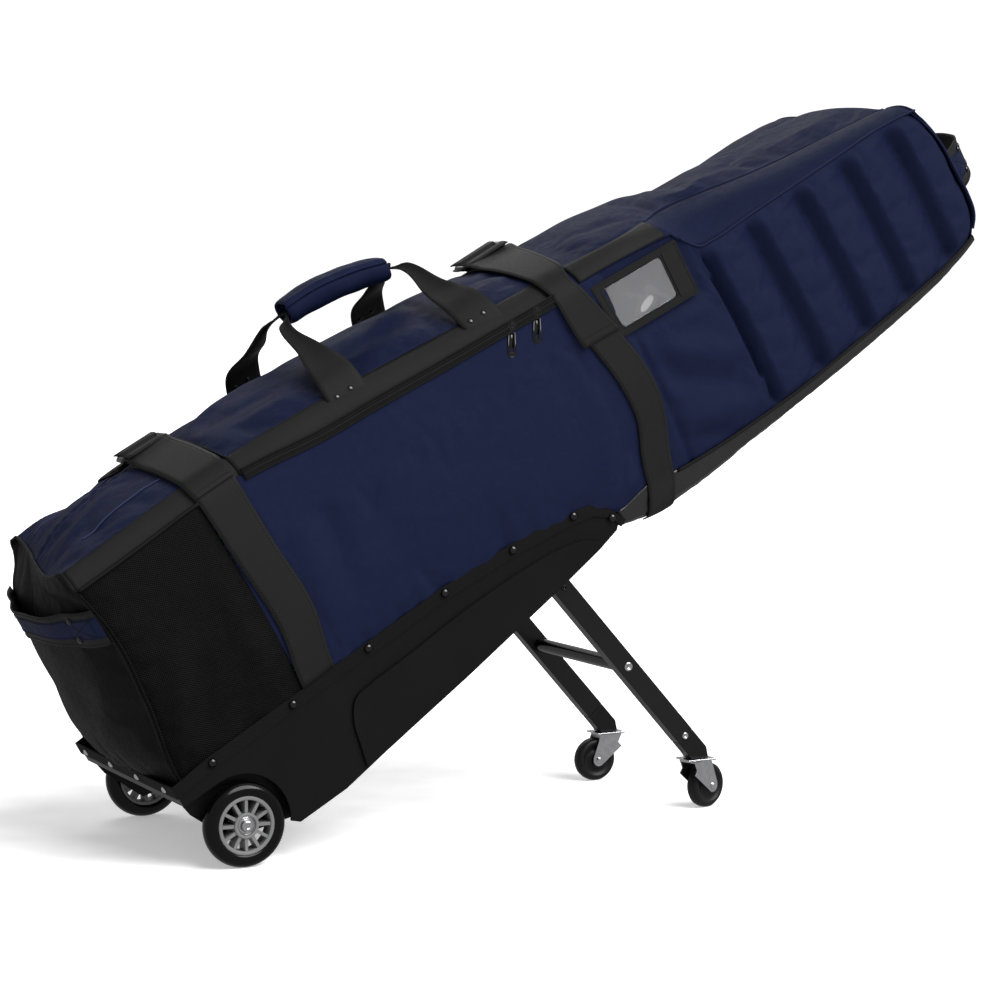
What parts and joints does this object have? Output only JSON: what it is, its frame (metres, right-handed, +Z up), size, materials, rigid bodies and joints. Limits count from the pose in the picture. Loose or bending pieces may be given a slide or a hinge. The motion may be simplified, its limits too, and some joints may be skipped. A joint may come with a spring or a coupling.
{
  "type": "golf travel case",
  "caption": "Padded golf travel case that leans on fixed wheels and folding caster legs, with a zipped lid, cinch straps, a wrapped carry handle and a ribbed hood.",
  "frame": {"origin": "middle of the overall box, on the floor", "axes": "+X from the base towards the hood, level; +Y towards the side that the picture hides; +Z up. The case leans back by 30 degrees"},
  "size_m": [1.3089, 0.3696, 0.9074],
  "materials": {
    "navy_fabric": "matt woven navy nylon",
    "black_fabric": "matt woven black nylon",
    "webbing": "matt black webbing",
    "coated_cloth": "glossy coated black cloth",
    "black_plastic": "satin moulded black plastic",
    "foam": "grey lining foam",
    "polyurethane": "glossy black polyurethane",
    "hub_plastic": "satin grey plastic",
    "bearing_steel": "bright steel",
    "black_metal": "satin black paint",
    "zinc": "bright zinc plate",
    "caster_rubber": "matt black rubber",
    "clear_vinyl": "clear vinyl sheet"
  },
  "bodies": {
    "case": {"tray": "black_plastic", "trim_strip": "webbing", "leg_bracket": "black_metal", "near_base_side": "black_fabric", "far_base_side": "black_fabric", "near_main_side": "navy_fabric", "far_main_side": "navy_fabric", "near_hood_side": "navy_fabric", "far_hood_side": "navy_fabric", "base_top": "navy_fabric", "hood_top": "navy_fabric", "base_end": "black_fabric", "hood_end": "navy_fabric", "hood_underside": "coated_cloth", "floor_pad": "foam", "near_foam_pad": "foam", "far_foam_pad": "foam", "zip_coil": "webbing", "lower_strap": "webbing", "lower_short_strap": "webbing", "lower_strap_ring": "black_plastic", "upper_strap": "webbing", "upper_short_strap": "webbing", "upper_strap_ring": "black_plastic", "base_handle": "webbing", "hood_handle": "webbing", "window_frame": "webbing", "window_pane": "clear_vinyl", "near_axle_bolt": "bearing_steel", "far_axle_bolt": "bearing_steel"},
    "lid": {"lid_panel": "navy_fabric", "lid_band": "webbing", "lower_handle_webbing": "webbing", "upper_handle_webbing": "webbing"},
    "handle": {"grip": "navy_fabric"},
    "lower_flap": {"lower_flap": "webbing"},
    "upper_flap": {"upper_flap": "webbing"},
    "lower_slider": {"lower_zip_slider": "black_metal"},
    "upper_slider": {"upper_zip_slider": "black_metal"},
    "lower_pull": {"lower_zip_pull": "black_metal"},
    "upper_pull": {"upper_zip_pull": "black_metal"},
    "near_wheel": {"near_tyre": "polyurethane", "near_hub": "hub_plastic", "near_bearing": "bearing_steel"},
    "far_wheel": {"far_tyre": "polyurethane", "far_hub": "hub_plastic", "far_bearing": "bearing_steel"},
    "legs": {"near_leg": "black_metal", "far_leg": "black_metal", "near_foot": "black_plastic", "far_foot": "black_plastic", "cross_tube": "black_metal", "pivot_shaft": "black_metal", "near_caster_plate": "zinc", "far_caster_plate": "zinc"},
    "lock": {"lock_lever": "black_metal"},
    "near_caster": {"near_fork": "zinc"},
    "far_caster": {"far_fork": "zinc"},
    "near_small_wheel": {"near_caster_wheel": "caster_rubber"},
    "far_small_wheel": {"far_caster_wheel": "caster_rubber"}
  },
  "joints": [
    {"name": "near_wheel_spin", "type": "hinge", "parent": "case", "child": "near_wheel", "pos_m": [-0.429, -0.1675, 0.05], "axis": [0, 1, 0], "continuous": true},
    {"name": "far_wheel_spin", "type": "hinge", "parent": "case", "child": "far_wheel", "pos_m": [-0.429, 0.1675, 0.05], "axis": [0, 1, 0], "continuous": true},
    {"name": "leg_fold", "type": "hinge", "parent": "case", "child": "legs", "pos_m": [-0.01099, 0, 0.32598], "axis": [0, 1, 0], "range_deg": [0, 92.4]},
    {"name": "near_caster_swivel", "type": "hinge", "parent": "legs", "child": "near_caster", "pos_m": [0.21631, -0.116, 0.05], "axis": [0, 0, 1], "continuous": true},
    {"name": "near_caster_spin", "type": "hinge", "parent": "near_caster", "child": "near_small_wheel", "pos_m": [0.23352, -0.11074, 0.029], "axis": [-0.2924, 0.9563, 0], "continuous": true},
    {"name": "far_caster_swivel", "type": "hinge", "parent": "legs", "child": "far_caster", "pos_m": [0.21631, 0.116, 0.05], "axis": [0, 0, 1], "continuous": true},
    {"name": "far_caster_spin", "type": "hinge", "parent": "far_caster", "child": "far_small_wheel", "pos_m": [0.19831, 0.116, 0.029], "axis": [0, -1, 0], "continuous": true},
    {"name": "lid_open", "type": "hinge", "parent": "case", "child": "lid", "pos_m": [-0.43028, 0.168, 0.45422], "axis": [-0.8982, 0, -0.4396], "range_deg": [0, 110]},
    {"name": "handle_drop", "type": "slide", "parent": "lid", "child": "handle", "axis": [-0.5, 0, 0.866], "range_m": [-0.033, 0]},
    {"name": "lower_flap_peel", "type": "hinge", "parent": "case", "child": "lower_flap", "pos_m": [-0.48105, 0.002, 0.47115], "axis": [-0.866, 0, -0.5], "range_deg": [0, 100]},
    {"name": "upper_flap_peel", "type": "hinge", "parent": "case", "child": "upper_flap", "pos_m": [-0.01288, 0.008, 0.70725], "axis": [-0.866, 0, -0.5], "range_deg": [0, 100]},
    {"name": "lower_zip_slide", "type": "slide", "parent": "case", "child": "lower_slider", "axis": [0.8982, 0, 0.4396], "range_m": [-0.365, 0]},
    {"name": "lower_pull_swing", "type": "hinge", "parent": "lower_slider", "child": "lower_pull", "pos_m": [-0.08547, -0.1792, 0.62299], "axis": [0, 1, 0], "range_deg": [-30, 30]},
    {"name": "upper_zip_slide", "type": "slide", "parent": "case", "child": "upper_slider", "axis": [0.8982, 0, 0.4396], "range_m": [0, 0.012]},
    {"name": "upper_pull_swing", "type": "hinge", "parent": "upper_slider", "child": "upper_pull", "pos_m": [-0.05126, -0.1792, 0.63973], "axis": [0, 1, 0], "range_deg": [-30, 30]},
    {"name": "lock_release", "type": "hinge", "parent": "case", "child": "lock", "pos_m": [-0.0489, 0, 0.31564], "axis": [0, -1, 0], "range_deg": [0, 20], "stiffness_Nm_per_rad": 0.3, "springref_deg": -5.73}
  ]
}
